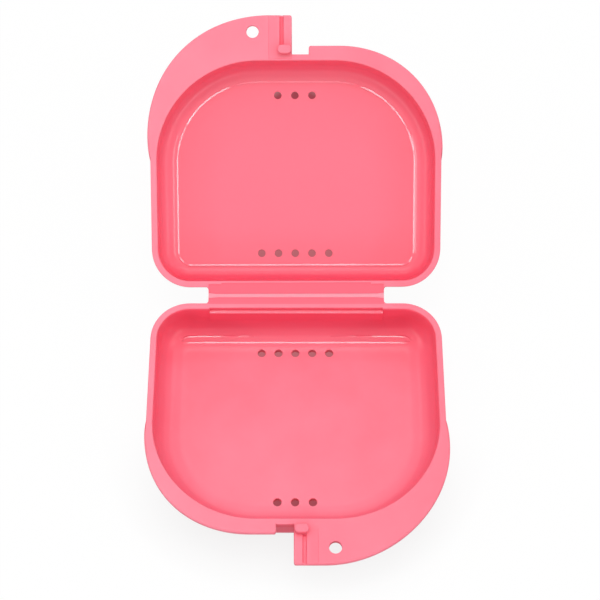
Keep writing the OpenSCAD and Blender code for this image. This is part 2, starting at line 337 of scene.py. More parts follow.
def edge_distance(place, centre_x, side_x, edge_u, bulge):
    """Distance from the shell to a flange's edge, which is straight and then rounds off to the side."""
    start = outside(place)
    if place.normal.y > 0:
        reach = (edge_u - start.y) / place.normal.y
        if abs(start.x + place.normal.x * reach) <= abs(centre_x):
            return reach
    radius = side_x - abs(centre_x)
    to_start = start - Vector((centre_x, edge_u - radius))
    along = to_start.dot(place.normal)
    inside = along * along - to_start.length_squared + radius * radius
    reach = math.sqrt(max(inside, 0.0)) - along
    there = to_start + place.normal * reach
    turn = min(math.atan2(abs(there.x), there.y), RIGHT_ANGLE)
    return max(reach + bulge * math.sin(2 * turn) ** 2, 0.0) if reach > 0 else reach


# How the outline's normal points along Y: straight back, mostly back, barely back, and to the front
STRAIGHT_BACK = -0.99
MOSTLY_BACK = -0.5
BARELY_BACK = -0.01
TO_FRONT = 0.9

# Largest share of a flange's width that an edge takes
EDGE_SHARE = 0.45


def flange_at(place, half, shell, flanges):
    """The lip, tab or leaf at a place: how far it stands out, its thickness and how its end rounds down."""
    x = outside(place).x
    bare = Flange(0.0, flanges.thickness, 0.0, 0.0, 0.0, shell.edge)
    if place.normal.y < MOSTLY_BACK:
        return leaf_at(x, half, shell, flanges)
    if place.normal.y < BARELY_BACK:
        return bare
    lip_x = half.tab_x + NOTCH_W
    top = 0.0
    if x >= lip_x:
        width = edge_distance(place, flanges.lip_centre, flanges.lip_side, flanges.lip_edge, half.lip_bulge)
        tail = x - lip_x
    elif x <= half.tab_x:
        width = edge_distance(place, -flanges.tab_centre, flanges.tab_side, flanges.tab_edge, half.tab_bulge)
        tail = half.tab_x - x
        top = -PAD_SINK * clamp((PAD_L - tail) / PAD_SOFT)
    else:
        return bare

    def rounded(radius):
        short = max(radius - tail, 0.0)
        return radius - math.sqrt(max(radius * radius - short * short, 0.0))

    groove = 0.0
    into = half.tab_x - flanges.strip - x
    if 0 < into < flanges.groove_w:
        groove = flanges.groove_d * min(1.0, into / GROOVE_SLOPE, (flanges.groove_w - into) / GROOVE_SLOPE)
    width = max(width - rounded(flanges.corner), 0.0)
    edge = min(flanges.edge, max(shell.edge, EDGE_SHARE * width))
    return Flange(width, flanges.thickness, top, rounded(shell.edge), groove, edge)


# Edge of the lid's leaf beside the film, and length over which the film widens at its ends
LEAF_EDGE = 0.2 * MM
FLARE_L = 2.2 * MM


def film_flare(x, flanges):
    """How much wider than in its middle each side of the film is at a place along the hinge."""
    past = abs(x) - flanges.hinge_l / 2 + FLARE_L
    return flanges.film_flare * smooth(past / FLARE_L)


def leaf_at(x, half, shell, flanges):
    """The hinge leaf at a place along the back edge, with a fillet at each end."""
    end = flanges.hinge_l / 2
    top = 0.0 if half.is_tray or abs(x) > RECESS_END else -shell.recess
    if abs(x) < end - HAIR:
        width = shell.back_gap - flanges.film_w / 2 - film_flare(x, flanges)
        return Flange(width, flanges.leaf_t, top, 0.0, 0.0, LEAF_EDGE if top else shell.edge)
    r = flanges.leaf_fillet
    past = max(end + r - abs(x), 0.0)
    width = r - math.sqrt(max(r * r - past * past, 0.0))
    return Flange(width, flanges.leaf_t, 0.0, 0.0, 0.0, shell.edge)


def lean(height, shell):
    """How far a drafted wall leans in over a height."""
    return height * math.tan(shell.draft)


def fillet_centre(half, shell):
    """Centre of the fillet between wall and floor, as inset and height."""
    return shell.wall + lean(half.depth - half.fillet, shell) + half.fillet, half.fillet - half.depth


# Degrees up the fillets at which their painted shade has grown as deep as the wall's
TRAY_FILLET_TURN = 65
LID_FILLET_TURN = 50


def on_fillet(centre, radius, degrees, turn=TRAY_FILLET_TURN):
    """Row on the fillet, from the floor at 0 degrees to the wall at 90."""
    a = math.radians(degrees)
    shelter = smooth(degrees / turn)
    return Row(centre[0] - radius * math.sin(a), centre[1] - radius * math.cos(a), SATIN, shelter)


def wall_rows(depths, shell):
    """Rows of the plain drafted wall at some depths below the rim."""
    return [Row(shell.wall + lean(d, shell), -d, SATIN, 1.0) for d in depths]


def in_hinge(place, flanges):
    """Whether a place lies on the back edge within the length of the hinge."""
    return place.normal.y < STRAIGHT_BACK and abs(outside(place).x) < flanges.hinge_l / 2


# Flat ring between a fillet and the face that closes the floor, and rows round a rim's edge
FLOOR_RING = 0.6 * MM
EDGE_STEPS = 5

# Fine steps along the foot of the tray's back wall, a capsule in degrees up the fillet and round the
# corner: its middle, half height, end and least share, how far a step reaches and rejoins, its lean, the
# least turn that the lean allows for, where the upper step fades, and the plain rows below and above
FOOT_MIDDLE = 29.0
FOOT_HALF = 6.8
FOOT_END = 34.0
FOOT_LEAST = 0.36
FOOT_START = 3.4
FOOT_REJOIN = 1.2
FOOT_LEAN = math.radians(6.6)
FOOT_TURN_LEAST = 0.5
FOOT_FADE = (12 * MM, 20 * MM)
BELOW_FOOT = (0, 6, 12)
ABOVE_FOOT = (43, 49, 55, 62, 69, 76, 83, 90)


def foot_fillet(place, centre, shell):
    """The tray's fillet, with two fine steps that catch the light along the foot of its back wall."""
    r = shell.tray_fillet
    back = Vector((0, -1))
    turn = math.degrees(place.normal.angle(back))
    share = math.sqrt(max(0.0, 1 - (turn / FOOT_END) ** 2))
    near, far = FOOT_FADE
    fade = smooth((abs(outside(place).x) - near) / (far - near))
    half = FOOT_HALF * max(share, FOOT_LEAST)
    slope = math.tan(FOOT_LEAN) / max(place.normal.dot(back), FOOT_TURN_LEAST)
    rows = [on_fillet(centre, r, a) for a in BELOW_FOOT]
    for degrees, full in ((FOOT_MIDDLE - half, 1.0), (FOOT_MIDDLE + half, fade)):
        strength = full if share > 0 else 0.0
        start = on_fillet(centre, r, degrees - FOOT_START)
        plain = on_fillet(centre, r, degrees)
        flat = start.height + (start.inset - plain.inset) * slope
        step = plain._replace(height=mix(plain.height, flat, strength))
        rows += [start._replace(finish=GLOSS if strength else SATIN), step]
        rows += [on_fillet(centre, r, degrees + FOOT_REJOIN)]
    return rows + [on_fillet(centre, r, a) for a in ABOVE_FOOT]


# The ledge leans down to the front a little, so that it catches the light, and has small edges
LEDGE_RISE = 0.11 * MM
LEDGE_EDGE = 0.18 * MM
LEDGE_SOFT = 0.12 * MM


def ledge_rows(ledge, shell):
    """Rows of the tray's back wall that step in over the ledge, or follow the plain wall."""
    soft, drop, lip = LEDGE_SOFT, shell.ledge_drop, shell.ledge_lip
    face, back = lip + shell.ledge_w, drop - LEDGE_RISE
    if not ledge:
        return wall_rows([drop + 3 * soft, drop + soft, drop, back, back - soft], shell)
    return [
        Row(face, -drop - 3 * soft, SATIN, 1.0), Row(face, -drop - soft, MATT),
        Row(face - soft, -drop, GLOSS), Row(lip + 2 * HAIR, -back, SATIN),
        Row(lip, soft - back, SATIN, 1.0)]


def tray_inside(place, half, shell):
    """Inside of the tray from its floor up to the rim, with the ledge behind the hinge edge."""
    centre = fillet_centre(half, shell)
    ledge = place.normal.y < STRAIGHT_BACK and abs(outside(place).x) < shell.ledge_half
    rows = [Row(centre[0] + FLOOR_RING, -half.depth, SATIN)]
    rows += foot_fillet(place, centre, shell) + ledge_rows(ledge, shell)
    rim_in, edge = (shell.ledge_lip, LEDGE_EDGE) if ledge else (shell.wall, shell.edge)
    if ledge:
        face = shell.ledge_lip + shell.ledge_w
        rows = [
            row._replace(inset=max(row.inset, face)) if row.height < -shell.ledge_drop else row
            for row in rows]
    return rows + arc((rim_in - edge, -edge), edge, 0, 90, EDGE_STEPS, MATT)


# Degrees of the rows up the lid's fillet, and depths of the two on its wall
LID_FILLET = (0, 3, 8, 14, 20, 26, 32, 38, 46, 54, 62, 70, 80, 90)
LID_WALL = (2 * MM, 1 * MM)

# How far the sunk panel draws in at the sides and out at the back, and how much its bevel widens there
PANEL_SIDE = 0.26 * MM
PANEL_BACK = -0.36 * MM
PANEL_BACK_EDGE = 0.6

# Polished streaks along the lid's sides: how squarely a place faces its side, the row of the left streak,
# the first row of the right one and how far its margin rises
SOFT_LINE = 0.93
LEFT_STREAK = 4
RIGHT_STREAK = 2
MARGIN_RISE = (0.055 * MM, 0.06 * MM, 0.07 * MM)


def lid_inside(place, half, shell):
    """Inside of the lid from its sunk panel over the panel's bevel and the fillet up to the rim."""
    centre = fillet_centre(half, shell)
    aside, back = place.normal.x ** 2, max(-place.normal.y, 0.0) ** 2
    bevel = centre[0] + shell.panel_margin + PANEL_SIDE * aside + PANEL_BACK * back
    bottom = -half.depth - half.sink
    low, wider = bevel + shell.panel_edge / 2, 1 + PANEL_BACK_EDGE * back
    rows = [Row(bevel + FLOOR_RING, bottom, SATIN), Row(low, bottom, GLOSS)]
    rows += [Row(low - shell.panel_edge * wider, bottom + half.sink * wider, SATIN)]
    rows += [on_fillet(centre, half.fillet, a, LID_FILLET_TURN) for a in LID_FILLET]
    if place.normal.x < -SOFT_LINE:
        rows[LEFT_STREAK] = rows[LEFT_STREAK]._replace(finish=GLOSS)
    elif place.normal.x > SOFT_LINE:
        rows[RIGHT_STREAK] = rows[RIGHT_STREAK]._replace(finish=GLOSS)
        for i, rise in enumerate(MARGIN_RISE, RIGHT_STREAK + 1):
            rows[i] = rows[i]._replace(height=max(rows[i].height, rise - half.depth))
    rows += wall_rows(LID_WALL, shell)
    return rows + arc((shell.wall - shell.edge, -shell.edge), shell.edge, 0, 90, EDGE_STEPS, MATT)


# Rows on the flat rim: beside the outer edge, inside it on the tray, and at the step to the lid's recess,
# with what is added to the recess's lip near its ends
RIM_BESIDE = 0.06 * MM
TRAY_RIM_IN = 0.5 * MM
RECESS_SOFT = 0.05 * MM
WIDE_LIP = 0.35 * MM


def rim_section(place, half, shell, flange, finish):
    """Flat top of the rim out to the shell's outside, with the step down to the lid's hinge recess."""
    beside = Row(shell.edge + RIM_BESIDE, 0.0 if half.is_tray else flange.top, finish)
    if half.is_tray:
        return [Row(shell.edge + TRAY_RIM_IN, 0.0, MATT), beside]
    wide_lip = abs(outside(place).x) > RECESS_STEP
    step = shell.wall - shell.recess_lip - (WIDE_LIP if wide_lip else 0.0)
    return [Row(step + RECESS_SOFT, 0.0, MATT), Row(step - RECESS_SOFT, flange.top, finish), beside]


# Section of a flange: the width over which it grows out of the wall, the fillet and the edge under it,
# the rows on its top and the steps round its lower edge and fillet
RUN_IN = 0.25 * MM
FLANGE_FILLET = 0.4 * MM
FLANGE_UNDER = 0.9 * MM
TOP_ROWS = 5
UNDER_STEPS = 4

# Groove across a tab, in shares of the tab's width: end of the flat, the groove's start and its floor's,
# then where it rises again and how much of its depth is left at the tab's edge
GROOVE_STARTS = (0.12, 0.235, 0.25)
GROOVE_END = 0.6 * MM
GROOVE_END_LEAST = 0.6
GROOVE_LEFT = 0.85
# Painted shade on the groove's floor and its end
GROOVE_SHELTER = 0.3


def flange_section(flange, shell, finish):
    """From the rim over a flange's edge and back under it to the wall, or straight down without one."""
    edge = flange.edge
    width = max(flange.width - flange.drop, 0.0)
    top = flange.top - flange.drop
    under = -flange.thickness + flange.drop
    fillet = min(FLANGE_FILLET, EDGE_SHARE * width)
    low = min(FLANGE_UNDER if edge > shell.edge else shell.edge, EDGE_SHARE * width)
    groove_top, end_top = top - flange.groove, top - flange.groove * GROOVE_LEFT
    groove_finish, shelter = (SATIN, GROOVE_SHELTER) if flange.groove > HAIR else (finish, 0.0)
    flat, near, floor = [-share * width for share in GROOVE_STARTS]
    past = max(width - GROOVE_END, GROOVE_END_LEAST * width)
    out = [Row(flat, top, finish), Row(near, top, groove_finish)]
    out += [Row(inset, groove_top, groove_finish, shelter) for inset in (floor, -past)]
    out += [Row(-mix(past, width - edge, 0.5), end_top, finish, shelter)]
    out += arc((edge - width, end_top - edge), edge, 90, 180, EDGE_STEPS, finish)
    out += arc((low - width, under + low), low, 180, 270, UNDER_STEPS, finish)
    out += arc((-fillet, under - fillet), fillet, 90, 0, UNDER_STEPS, finish)
    plain = [Row(edge + (TOP_ROWS - i) * HAIR, flange.top, finish) for i in range(TOP_ROWS)]
    plain += arc((edge, flange.top - edge), edge, 90, 180, EDGE_STEPS, finish)
    down = len(out) - len(plain)
    foot = flange.thickness + FLANGE_FILLET
    plain += [Row(0.0, -mix(edge, foot, (i + 1) / down), finish) for i in range(down)]
    share = smooth(width / RUN_IN)
    return [
        Row(mix(a.inset, b.inset, share), mix(a.height, b.height, share), b.finish, b.shelter)
        for a, b in zip(plain, out)]


# Outside of a shell: the start of its draft under the rim band, the largest radius of its foot and its steps
UNDER_BAND = 0.3 * MM
FOOT_R = 7.0 * MM
FOOT_STEPS = 12


def outer_section(half, shell):
    """Outside of the shell from under the rim band down to the foot."""
    height = half.depth + shell.floor
    foot_r = min(half.fillet + shell.floor, FOOT_R)
    wall = lean(height - shell.band - foot_r, shell)
    rows = [Row(0.0, -shell.band - UNDER_BAND, SATIN)]
    rows += arc((wall + foot_r, foot_r - height), foot_r, 180, 270, FOOT_STEPS, SATIN)
    return rows + [Row(wall + foot_r + FLOOR_RING, -height, SATIN)]


# Painted shade, kept as a share on the mesh: how much deeper the pink is painted where walls close in on
# each other, on the hinge leaves, on the pad and in a notch, and how far down a notch it is painted
SHADE_SHARE = "shelter"
BACK_SHELTER = 0.9
LID_FRONT_SHELTER = 0.35
LID_RIGHT_SHELTER = 0.3
TRAY_FRONT_SHELTER = 0.8
TRAY_SIDE_SHELTER = 0.35
TRAY_LEAF_SHELTER = 0.25
LID_LEAF_SHELTER = 0.45
PAD_SHELTER = 0.13
NOTCH_SHELTER = 0.7
NOTCH_DOWN = 7 * MM


def wall_shade_share(place, half):
    """How much painted shade deepens the pink of the inside wall of a half beyond its floor's at a place."""
    toward, aside = place.normal.y ** 2, place.normal.x ** 2
    front = TRAY_FRONT_SHELTER if half.is_tray else LID_FRONT_SHELTER
    right = LID_RIGHT_SHELTER if place.normal.x > 0 else 0.0
    side = TRAY_SIDE_SHELTER if half.is_tray else right
    return side * aside + (BACK_SHELTER if place.normal.y < 0 else front) * toward


def top_shade_share(place, half, flange, flanges):
    """How much painted shade deepens the pink of a hinge leaf, or of the pad beside a groove, beyond the
    rim's at a place.
    """
    if in_hinge(place, flanges):
        return TRAY_LEAF_SHELTER if half.is_tray else LID_LEAF_SHELTER
    past_groove = half.tab_x - outside(place).x > flanges.strip + flanges.groove_w
    return -PAD_SHELTER * flange.top / PAD_SINK if past_groove else 0.0


def half_section(place, half, shell, flanges):
    """Rows of the section at a place, from the floor's inside over the rim to the floor's outside."""
    flange = flange_at(place, half, shell, flanges)
    finish = SATIN if in_hinge(place, flanges) else MATT
    # Painted shade down the wall that shows through a notch
    notch = NOTCH_SHELTER if place.normal.y > TO_FRONT and flange.width == 0 else 0.0
    wall, top = wall_shade_share(place, half), top_shade_share(place, half, flange, flanges)
    inner = tray_inside(place, half, shell) if half.is_tray else lid_inside(place, half, shell)
    rows = [row._replace(shelter=row.shelter * wall) for row in inner]
    rim = rim_section(place, half, shell, flange, finish)
    rows += rim[:1] + [row._replace(shelter=0.0 if half.is_tray else top) for row in rim[1:]]
    for row in flange_section(flange, shell, finish):
        in_notch = notch and row.height < -shell.edge / 2
        rows.append(row._replace(shelter=notch if in_notch else max(top, row.shelter)))
    for row in outer_section(half, shell):
        rows.append(row._replace(shelter=notch if row.height > -NOTCH_DOWN else 0.0))
    return rows


def shell_mesh(half, shell, flanges):
    """One half of the case as a single skin: floor, walls, rim, lip, tab and leaf."""
    mesh = bmesh.new()
    layer = mesh.verts.layers.float.new(SHADE_SHARE)
    sections, loops = [], []
    for place in outline(half, shell, flanges):
        section = half_section(place, half, shell, flanges)
        loop = [mesh.verts.new((*flared(outside(place, row.inset)), row.height)) for row in section]
        for vertex, row in zip(loop, section):
            vertex[layer] = row.shelter
        sections.append(section)
        loops.append(loop)
    for i, here in enumerate(loops):
        there = loops[(i + 1) % len(loops)]
        for j, row in enumerate(sections[i][:-1]):
            face = mesh.faces.new((here[j], here[j + 1], there[j + 1], there[j]))
            face.material_index = row.finish
    for end, step in ((0, 1), (-1, -1)):
        cap = mesh.faces.new([loop[end] for loop in loops[::step]])
        cap.material_index = SATIN
    bmesh.ops.recalc_face_normals(mesh, faces=mesh.faces)
    return mesh


def bridge(mesh, rings):
    """Faces between closed rings of vertices, from each ring to the next."""
    for low, high in zip(rings, rings[1:]):
        for i in range(len(low)):
            mesh.faces.new((low[i], low[i - 1], high[i - 1], high[i]))


def lathe(mesh, profile, x, u, sides=48):
    """Closed turned solid about a vertical axis, from (radius, height) points."""
    turn = [2 * math.pi * i / sides for i in range(sides)]
    rings = []
    for radius, height in profile:
        points = [(x + radius * math.cos(a), u + radius * math.sin(a), height) for a in turn]
        rings.append([mesh.verts.new(point) for point in points])
    bridge(mesh, rings)
    mesh.faces.new(rings[0])
    mesh.faces.new(list(reversed(rings[-1])))


# The vents stand a hair left of the middle in both halves, and the tray's are larger and further on
VENT_ASIDE = -0.25 * MM
TRAY_VENT_ON = 0.35 * MM
TRAY_VENT = 1.06

# Flares of the holes at their faces, and how far the cutters reach past them
VENT_FLARE = 0.08 * MM
LANYARD_FLARE = 0.06 * MM
LANYARD_UNDER = 0.5 * MM
CUT_PAST = 0.4 * MM


def hole_cutters(half, shell, flanges):
    """Solids that cut the vents and the lanyard hole, each flared a little at both faces."""
    mesh = bmesh.new()

    def drill(x, u, diameter, top, bottom, flare, under):
        r = diameter / 2
        low, high = (r + under + CUT_PAST, bottom - CUT_PAST), (r + flare + CUT_PAST, top + CUT_PAST)
        lathe(mesh, [low, (r, bottom + under), (r, top - flare), high], x, u)

    top, bottom = -half.depth - half.sink, -half.depth - shell.floor
    front_u = shell.back_gap + shell.depth - shell.front_vent
    back_u = shell.back_vent + (TRAY_VENT_ON if half.is_tray else 0.0)
    vent_d = shell.vent_d * (TRAY_VENT if half.is_tray else 1.0)
    aside = -VENT_ASIDE if half.is_tray else VENT_ASIDE
    for count, pitch, u in ((5, shell.back_pitch, back_u), (3, shell.front_pitch, front_u)):
        for i in range(count):
            x = (i - (count - 1) / 2) * pitch + aside
            drill(x, u, vent_d, top, bottom, VENT_FLARE, VENT_FLARE)
    lanyard_x = half.tab_x - (LANYARD["pos_m"][0] - TAB_LOW.x)
    lanyard_u = HINGE.y - LANYARD["pos_m"][1]
    lanyard_d = 2 * LANYARD["dims"]["r_mm"] * MM
    drill(lanyard_x, lanyard_u, lanyard_d, 0.0, -flanges.thickness, LANYARD_FLARE, LANYARD_UNDER)
    bmesh.ops.recalc_face_normals(mesh, faces=mesh.faces)
    for face in mesh.faces:
        face.material_index = SATIN
    return mesh


def new_object(name, mesh, materials=()):
    """Object from a bmesh, in the scene."""
    data = bpy.data.meshes.new(name)
    mesh.to_mesh(data)
    mesh.free()
    thing = bpy.data.objects.new(name, data)
    bpy.context.scene.collection.objects.link(thing)
    for material in materials:
        data.materials.append(material)
    return thing


# Faces larger than this are the flat floors, and edges sharper than this stay crisp
FLAT_AREA = 20 * MM * MM
CRISP = math.radians(24)


def shade(thing):
    """Smooth shading that keeps crisp edges, with flat faces kept flat."""
    data = thing.data
    data.polygons.foreach_set("use_smooth", [polygon.area < FLAT_AREA for polygon in data.polygons])
    data.set_sharp_from_angle(angle=CRISP)
    finishes = {}
    for polygon in data.polygons:
        for key in polygon.edge_keys:
            finishes.setdefault(key, set()).add(polygon.material_index)
    for edge in data.edges:
        if len(finishes[edge.key]) > 1 and GLOSS in finishes[edge.key]:
            edge.use_edge_sharp = True
    modifier = thing.modifiers.new("flat_faces", "WEIGHTED_NORMAL")
    modifier.keep_sharp = True


def cut(thing, cutter):
    """Cuts one solid out of another and keeps the result as a plain mesh."""
    modifier = thing.modifiers.new("holes", "BOOLEAN")
    modifier.operation = "DIFFERENCE"
    modifier.solver = "EXACT"
    modifier.object = cutter
    bpy.context.view_layer.update()
    result = bpy.data.meshes.new_from_object(thing.evaluated_get(bpy.context.evaluated_depsgraph_get()))
    thing.modifiers.clear()
    old = thing.data
    thing.data = result
    result.name = old.name
    bpy.data.meshes.remove(old)
    spare = cutter.data
    bpy.data.objects.remove(cutter)
    bpy.data.meshes.remove(spare)


def add_node(tree, kind, inputs=None, **settings):
    """Adds a node, with its settings, and with its inputs set or linked."""
    node = tree.nodes.new(kind)
    for key, value in settings.items():
        setattr(node, key, value)
    for key, value in (inputs or {}).items():
        if isinstance(value, bpy.types.NodeSocket):
            tree.links.new(value, node.inputs[key])
        else:
            node.inputs[key].default_value = value
    return node


def empty_tree(owner):
    """Node tree of a material or a world, without the nodes that it starts with."""
    owner.use_nodes = True
    owner.node_tree.nodes.clear()
    return owner.node_tree


def rgba(rgb):
    """A colour with full opacity."""
    return (*rgb, 1.0)


# Finishes that the mould gives: matt rims and tabs with a fine grain, satin shells, polished facets that
# glint, and a paler film. Each has its roughness, the width and depth of its grain, the share of light that
# it lets in and the drift of its colour per metre along each axis, which is painted light: it makes the rims
# and tabs paler to the left and the shells paler towards the tray's front. A real spark-eroded grain is
# finer than these, which are as coarse as they need to be to show
Finish = namedtuple("Finish", "name roughness grain grain_depth scatter drift")
MATT_FINISH = Finish("polypropylene_matt", 0.46, 0.35 * MM, 0.004 * MM, 0.12, (1 / (115 * MM), 0.0, 0.0))
SATIN_FINISH = Finish("polypropylene_satin", 0.3, 0.5 * MM, 0.001 * MM, 0.12, (0.0, 1 / (60 * MM), 0.0))
POLISHED_FINISH = SATIN_FINISH._replace(name="polypropylene_polished", roughness=0.07, grain_depth=0.0)
FILM_FINISH = Finish("polypropylene_film", 0.35, 0.4 * MM, 0.001 * MM, 0.3, (0.0, 0.0, 0.0))

# Polypropylene's own values: refraction, how far red, green and blue light spread in it, the width of its
# flow marks, the width and depth of its sink waves, the reach of the shade painted into its creases with its
# samples, and the spread of its gloss
POLYPROPYLENE_IOR = 1.49
SPREAD = (1.0, 0.3, 0.35)
SPREAD_SCALE = 1.0 * MM
FLOW_SIZE = 14 * MM
WAVE_SIZE, WAVE_DEPTH = 9 * MM, 0.025 * MM
CREASE_SHADE_REACH, CREASE_SAMPLES = 2.5 * MM, 8
GLOSS_SPREAD = 0.03


def polypropylene(finish, tint, flow_and_shade_tint, shade_pink):
    """Polypropylene, injection moulded.

    It lets a little light in, so edges glow. Shade is painted into its colour: creases that ambient
    occlusion finds, and places where the mesh keeps a share of painted shade, turn towards a deeper pink.
    Broad flow marks vary its colour and gloss slightly, painted light drifts it paler to one side, long sink
    waves bend its highlights and the spark-eroded mould leaves a fine grain.
    """
    material = bpy.data.materials.new(finish.name)
    tree = empty_tree(material)
    place = add_node(tree, "ShaderNodeTexCoord").outputs["Object"]
    flow = add_node(tree, "ShaderNodeTexNoise", {"Vector": place, "Scale": 1 / FLOW_SIZE, "Detail": 3.0})
    waves = add_node(tree, "ShaderNodeTexNoise", {"Vector": place, "Scale": 1 / WAVE_SIZE, "Detail": 1.0})
    pits = add_node(tree, "ShaderNodeTexNoise", {"Vector": place, "Scale": 1 / finish.grain, "Detail": 2.0})
    # Painted light: the drift moves the pink along the axes, so the rims and tabs are paler to the left and
    # the shells towards the tray's front
    along = add_node(tree, "ShaderNodeVectorMath", {0: place, 1: finish.drift}, operation="DOT_PRODUCT")
    share = add_node(
        tree, "ShaderNodeMath", {0: along.outputs["Value"], 1: flow.outputs["Fac"]}, operation="ADD")
    tinted = add_node(
        tree, "ShaderNodeMix",
        {"Factor": share.outputs[0], "A": rgba(tint), "B": rgba(flow_and_shade_tint)}, data_type="RGBA")
    # Painted shade: where ambient occlusion finds a crease, the pink turns towards the deeper pink
    air = add_node(tree, "ShaderNodeAmbientOcclusion", {"Distance": CREASE_SHADE_REACH}, samples=CREASE_SAMPLES)
    crease_shaded = add_node(
        tree, "ShaderNodeMix",
        {"Factor": air.outputs["AO"], "A": rgba(shade_pink), "B": tinted.outputs["Result"]}, data_type="RGBA")
    # Painted shade: the pink turns towards the deeper pink by the share that the mesh keeps
    closed = add_node(tree, "ShaderNodeAttribute", attribute_name=SHADE_SHARE)
    pink = add_node(
        tree, "ShaderNodeMix",
        {"Factor": closed.outputs["Fac"], "A": crease_shaded.outputs["Result"], "B": rgba(shade_pink)}, data_type="RGBA")
    gloss = add_node(
        tree, "ShaderNodeMapRange",
        {"Value": flow.outputs["Fac"], "To Min": finish.roughness - GLOSS_SPREAD,
         "To Max": finish.roughness + GLOSS_SPREAD})
    sunk = add_node(
        tree, "ShaderNodeBump", {"Height": waves.outputs["Fac"], "Strength": 1.0, "Distance": WAVE_DEPTH})
    grained = add_node(
        tree, "ShaderNodeBump",
        {"Height": pits.outputs["Fac"], "Strength": 1.0, "Distance": finish.grain_depth,
         "Normal": sunk.outputs["Normal"]})
    skin = add_node(
        tree, "ShaderNodeBsdfPrincipled",
        {"Base Color": pink.outputs["Result"], "Roughness": gloss.outputs["Result"],
         "IOR": POLYPROPYLENE_IOR, "Subsurface Weight": finish.scatter, "Subsurface Radius": SPREAD,
         "Subsurface Scale": SPREAD_SCALE, "Normal": grained.outputs["Normal"]})
    add_node(tree, "ShaderNodeOutputMaterial", {"Surface": skin.outputs["BSDF"]})
    return material


def moulding_finishes(colours):
    """Matt, satin and polished finish of the same polypropylene, in slot order."""
    wanted = (
        (MATT_FINISH, colours.matt, colours.right_shade_and_flow), (SATIN_FINISH, colours.satin, colours.flow),
        (POLISHED_FINISH, colours.satin, colours.flow))
    return [
        bpy.data.materials.get(finish.name) or polypropylene(finish, tint, flow_and_shade_tint, colours.shade_pink)
        for finish, tint, flow_and_shade_tint in wanted]


def make_half(context, half):
    """Builds one half of the case and rides it on its body."""
    scene = context.scene
    shell, flanges = scene.case_shell, scene.case_flanges
    finishes = moulding_finishes(scene.case_colours)
    thing = new_object(f"{half.name}_moulding", shell_mesh(half, shell, flanges), finishes)
    cut(thing, new_object("hole_cutters", hole_cutters(half, shell, flanges), finishes))
    thing.data.transform(half.to_frame)
    shade(thing)
    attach(thing, half.name)
    nodes = [half.name] + [f"{half.name}_{part}" for part in ("catch_lip", "finger_tab", "hinge_leaf")]
    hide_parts(*nodes)


class CASE_OT_tray(bpy.types.Operator):
    """Builds the tray with its lip, finger tab and hinge leaf"""
    bl_idname = "retainer_case.tray"
    bl_label = "Tray"

    def execute(self, context):
        make_half(context, halves(context.scene)[0])
        return {"FINISHED"}


class CASE_OT_lid(bpy.types.Operator):
    """Builds the lid with its lip, finger tab and hinge leaf"""
    bl_idname = "retainer_case.lid"
    bl_label = "Lid"

    def execute(self, context):
        make_half(context, halves(context.scene)[1])
        return {"FINISHED"}


# Latch pegs: radius of their ends, how far the lid's stands in, how deep their foot is sunk in the tab,
# where their neck starts to widen and where it ends, and the steps round a corner and over the top
PEG_CORNER = 1.15 * MM
LID_PEG_IN = 0.08 * MM
PEG_SUNK = 0.3 * MM
PEG_NECK = (0.25 * MM, 0.55 * MM)
PEG_STEPS = 10
PEG_TOP_STEPS = 6


def peg_mesh(flanges, half):
    """Latch peg: a rounded bar in plan that draws in at its foot and has a rounded top."""
    size = PEG_HIGH - PEG_LOW
    middle = Vector((
        half.tab_x - (PEG_LOW.x - TAB_LOW.x) - size.x / 2, HINGE.y - (PEG_LOW.y + PEG_HIGH.y) / 2))
    if not half.is_tray:
        middle.y -= LID_PEG_IN
    reach = Vector((size.x / 2 - PEG_CORNER, size.y / 2 - PEG_CORNER))
    top, neck = flanges.peg_top, flanges.peg_neck
    rows = [(neck, -PEG_SUNK), (neck, PEG_NECK[0]), (0.0, PEG_NECK[1])]
    over = arc((0, size.z - top), top, 0, 90, PEG_TOP_STEPS, MATT)
    rows += [(top - row.inset, row.height) for row in over]
    mesh = bmesh.new()
    rings = []
    for inset, height in rows:
        ring = []
        for quarter, (side, end) in enumerate(((1, 1), (-1, 1), (-1, -1), (1, -1))):
            centre = middle + Vector((side * reach.x, end * reach.y))
            for i in range(PEG_STEPS + 1):
                a = RIGHT_ANGLE * (quarter + i / PEG_STEPS)
                point = centre + (PEG_CORNER - inset) * Vector((math.cos(a), math.sin(a)))
                ring.append(mesh.verts.new((*point, height)))
        rings.append(ring)
    bridge(mesh, rings[::-1])
    mesh.faces.new(rings[-1])
    mesh.faces.new(list(reversed(rings[0])))
    bmesh.ops.recalc_face_normals(mesh, faces=mesh.faces)
    return mesh


class CASE_OT_pegs(bpy.types.Operator):
    """Builds the two latch pegs"""
    bl_idname = "retainer_case.pegs"
    bl_label = "Latch pegs"

    def execute(self, context):
        scene = context.scene
        matt = moulding_finishes(scene.case_colours)[:1]
        for half in halves(scene):
            peg = new_object(f"{half.name}_peg", peg_mesh(scene.case_flanges, half), matt)
            peg.data.transform(half.to_frame)
            shade(peg)
            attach(peg, half.name)
            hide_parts(f"{half.name}_latch_peg")
        return {"FINISHED"}


# Film of the hinge: how far it lies below the tray's rim and the lid's recess, its lap into the leaves,
# the dip in its middle, how much thicker it is at its roots, and its rows across and spacing along
FILM_BELOW_TRAY = 0.16 * MM
FILM_BELOW_LID = 0.06 * MM
FILM_LAP = 0.12 * MM
FILM_DIP = 0.05 * MM
FILM_ROOT = 0.25 * MM
FILM_ROWS = 12
FILM_SPACING = 0.5 * MM


